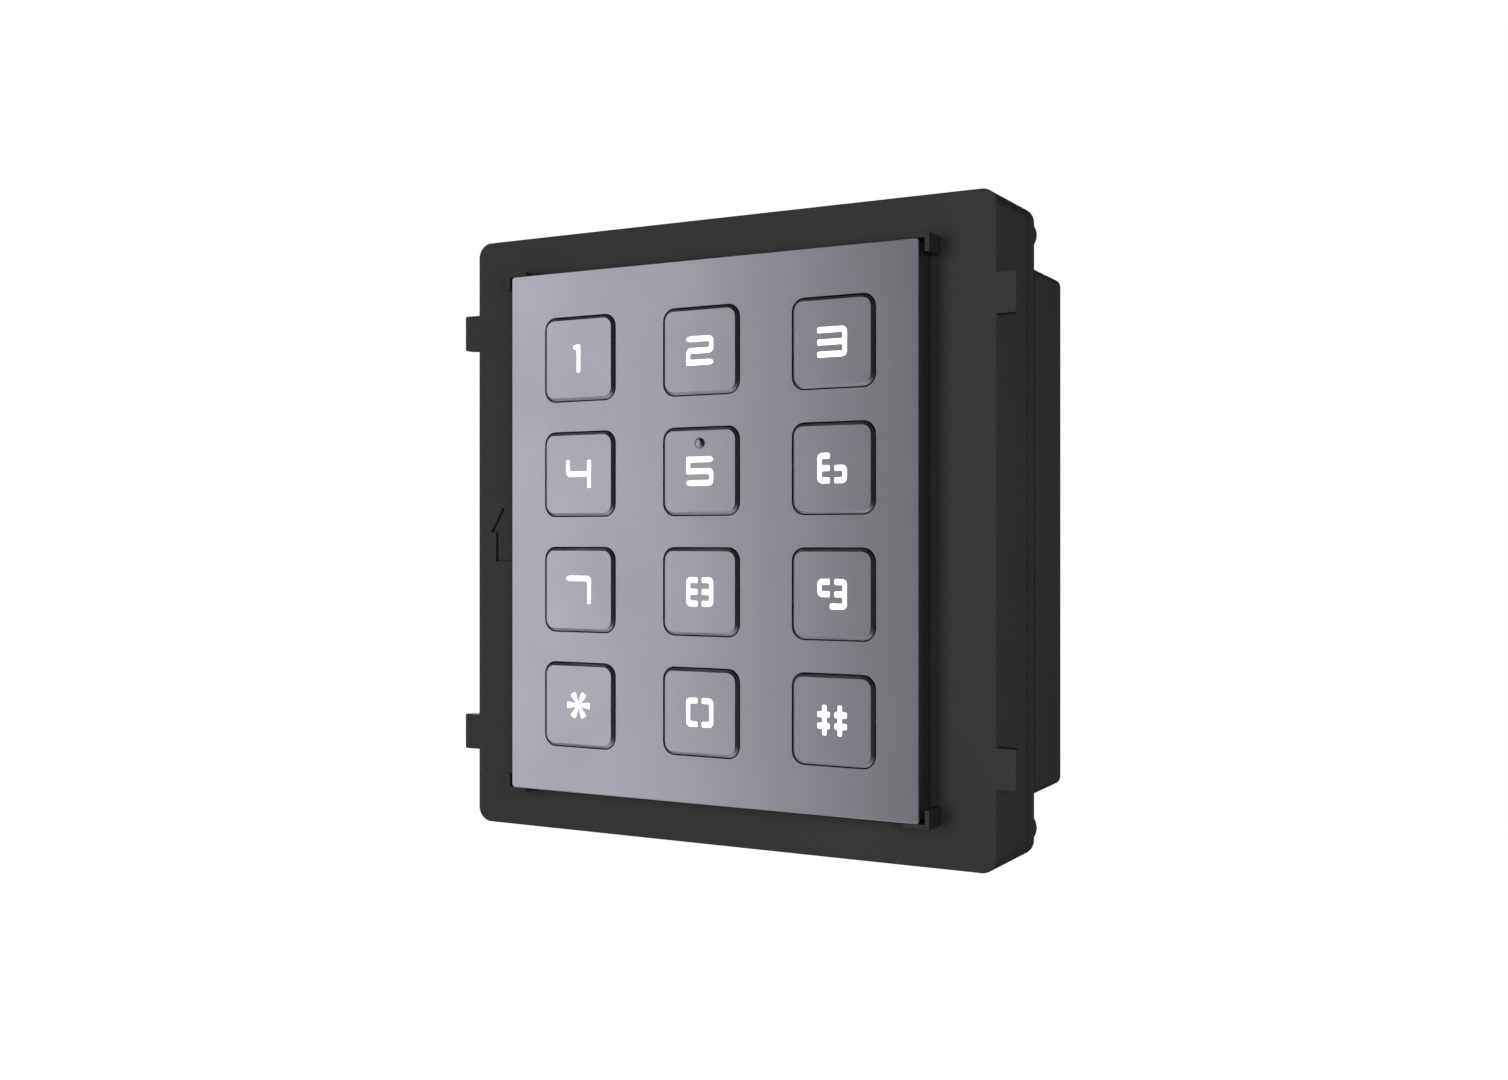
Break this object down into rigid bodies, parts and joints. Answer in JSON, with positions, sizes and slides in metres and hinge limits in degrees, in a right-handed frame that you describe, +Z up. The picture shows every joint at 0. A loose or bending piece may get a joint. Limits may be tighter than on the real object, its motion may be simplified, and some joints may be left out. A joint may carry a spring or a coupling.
{
  "type": "keypad access module",
  "caption": "Flush access keypad module: black two-part housing with side snap tabs, metallic face plate, square backlit keys that press, and a rear box with bus sockets and an address switch.",
  "frame": {"origin": "centre of the flat rear face", "axes": "+Y out of the rear face into the wall, so the keys face -Y; +Z up; +X to the right of someone facing the keys"},
  "size_m": [0.1006, 0.0347, 0.1],
  "materials": {
    "housing_plastic": "fine moulded texture, near-black",
    "plate_finish": "satin metallic grey paint, faint violet cast",
    "key_finish": "satin metallic grey paint, the same as the plate",
    "legend_plastic": "white translucent plastic, flush",
    "adhesive": "dark double-sided film",
    "silicone": "translucent grey silicone",
    "carbon_rubber": "matt black conductive rubber",
    "board": "green solder mask on glass-fibre laminate",
    "led": "clear resin on a white body",
    "chip_resin": "black moulding resin",
    "capacitor_can": "sleeved aluminium can",
    "screw_steel": "zinc-plated steel",
    "connector_plastic": "black glass-filled plastic",
    "pin_metal": "gold-flashed brass",
    "switch_plastic": "red plastic",
    "slider_plastic": "white plastic",
    "gasket_rubber": "black foam rubber",
    "label_film": "blank silver-grey film"
  },
  "bodies": {
    "housing": {"address_switch_body": "switch_plastic", "backlight_leds": "led", "bus_driver_chip": "chip_resin", "bus_input_pins": "pin_metal", "bus_input_socket": "connector_plastic", "bus_output_pins": "pin_metal", "bus_output_socket": "connector_plastic", "capacitors": "capacitor_can", "carbon_pills": "carbon_rubber", "controller_chip": "chip_resin", "cover_screws": "screw_steel", "face_plate": "plate_finish", "front_housing": "housing_plastic", "housing_gasket": "gasket_rubber", "interface_board": "board", "interface_board_screws": "screw_steel", "keypad_board": "board", "keypad_board_screws": "screw_steel", "link_header": "connector_plastic", "link_pins": "pin_metal", "link_socket": "connector_plastic", "plate_adhesive": "adhesive", "rating_label": "label_film", "rear_cover": "housing_plastic", "silicone_keymat": "silicone"},
    "key_1": {"key_1": "key_finish", "legend_1": "legend_plastic"},
    "key_2": {"key_2": "key_finish", "legend_2": "legend_plastic"},
    "key_3": {"key_3": "key_finish", "legend_3": "legend_plastic"},
    "key_4": {"key_4": "key_finish", "legend_4": "legend_plastic"},
    "key_5": {"key_5": "key_finish", "legend_5": "legend_plastic"},
    "key_6": {"key_6": "key_finish", "legend_6": "legend_plastic"},
    "key_7": {"key_7": "key_finish", "legend_7": "legend_plastic"},
    "key_8": {"key_8": "key_finish", "legend_8": "legend_plastic"},
    "key_9": {"key_9": "key_finish", "legend_9": "legend_plastic"},
    "key_star": {"key_star": "key_finish", "legend_star": "legend_plastic"},
    "key_0": {"key_0": "key_finish", "legend_0": "legend_plastic"},
    "key_hash": {"key_hash": "key_finish", "legend_hash": "legend_plastic"},
    "address_slider_1": {"address_slider_1": "slider_plastic"},
    "address_slider_2": {"address_slider_2": "slider_plastic"},
    "address_slider_3": {"address_slider_3": "slider_plastic"},
    "address_slider_4": {"address_slider_4": "slider_plastic"}
  },
  "joints": [
    {"name": "key_1_press", "type": "slide", "parent": "housing", "child": "key_1", "axis": [0, 1, 0], "range_m": [0, 0.001], "stiffness_N_per_m": 800, "springref_m": -0.0005, "deforming": ["silicone_keymat", "carbon_pills"]},
    {"name": "key_2_press", "type": "slide", "parent": "housing", "child": "key_2", "axis": [0, 1, 0], "range_m": [0, 0.001], "stiffness_N_per_m": 800, "springref_m": -0.0005, "deforming": ["silicone_keymat", "carbon_pills"]},
    {"name": "key_3_press", "type": "slide", "parent": "housing", "child": "key_3", "axis": [0, 1, 0], "range_m": [0, 0.001], "stiffness_N_per_m": 800, "springref_m": -0.0005, "deforming": ["silicone_keymat", "carbon_pills"]},
    {"name": "key_4_press", "type": "slide", "parent": "housing", "child": "key_4", "axis": [0, 1, 0], "range_m": [0, 0.001], "stiffness_N_per_m": 800, "springref_m": -0.0005, "deforming": ["silicone_keymat", "carbon_pills"]},
    {"name": "key_5_press", "type": "slide", "parent": "housing", "child": "key_5", "axis": [0, 1, 0], "range_m": [0, 0.001], "stiffness_N_per_m": 800, "springref_m": -0.0005, "deforming": ["silicone_keymat", "carbon_pills"]},
    {"name": "key_6_press", "type": "slide", "parent": "housing", "child": "key_6", "axis": [0, 1, 0], "range_m": [0, 0.001], "stiffness_N_per_m": 800, "springref_m": -0.0005, "deforming": ["silicone_keymat", "carbon_pills"]},
    {"name": "key_7_press", "type": "slide", "parent": "housing", "child": "key_7", "axis": [0, 1, 0], "range_m": [0, 0.001], "stiffness_N_per_m": 800, "springref_m": -0.0005, "deforming": ["silicone_keymat", "carbon_pills"]},
    {"name": "key_8_press", "type": "slide", "parent": "housing", "child": "key_8", "axis": [0, 1, 0], "range_m": [0, 0.001], "stiffness_N_per_m": 800, "springref_m": -0.0005, "deforming": ["silicone_keymat", "carbon_pills"]},
    {"name": "key_9_press", "type": "slide", "parent": "housing", "child": "key_9", "axis": [0, 1, 0], "range_m": [0, 0.001], "stiffness_N_per_m": 800, "springref_m": -0.0005, "deforming": ["silicone_keymat", "carbon_pills"]},
    {"name": "key_star_press", "type": "slide", "parent": "housing", "child": "key_star", "axis": [0, 1, 0], "range_m": [0, 0.001], "stiffness_N_per_m": 800, "springref_m": -0.0005, "deforming": ["silicone_keymat", "carbon_pills"]},
    {"name": "key_0_press", "type": "slide", "parent": "housing", "child": "key_0", "axis": [0, 1, 0], "range_m": [0, 0.001], "stiffness_N_per_m": 800, "springref_m": -0.0005, "deforming": ["silicone_keymat", "carbon_pills"]},
    {"name": "key_hash_press", "type": "slide", "parent": "housing", "child": "key_hash", "axis": [0, 1, 0], "range_m": [0, 0.001], "stiffness_N_per_m": 800, "springref_m": -0.0005, "deforming": ["silicone_keymat", "carbon_pills"]},
    {"name": "address_slider_1_slide", "type": "slide", "parent": "housing", "child": "address_slider_1", "axis": [1, 0, 0], "range_m": [0, 0.0016]},
    {"name": "address_slider_2_slide", "type": "slide", "parent": "housing", "child": "address_slider_2", "axis": [1, 0, 0], "range_m": [0, 0.0016]},
    {"name": "address_slider_3_slide", "type": "slide", "parent": "housing", "child": "address_slider_3", "axis": [1, 0, 0], "range_m": [0, 0.0016]},
    {"name": "address_slider_4_slide", "type": "slide", "parent": "housing", "child": "address_slider_4", "axis": [1, 0, 0], "range_m": [0, 0.0016]}
  ]
}
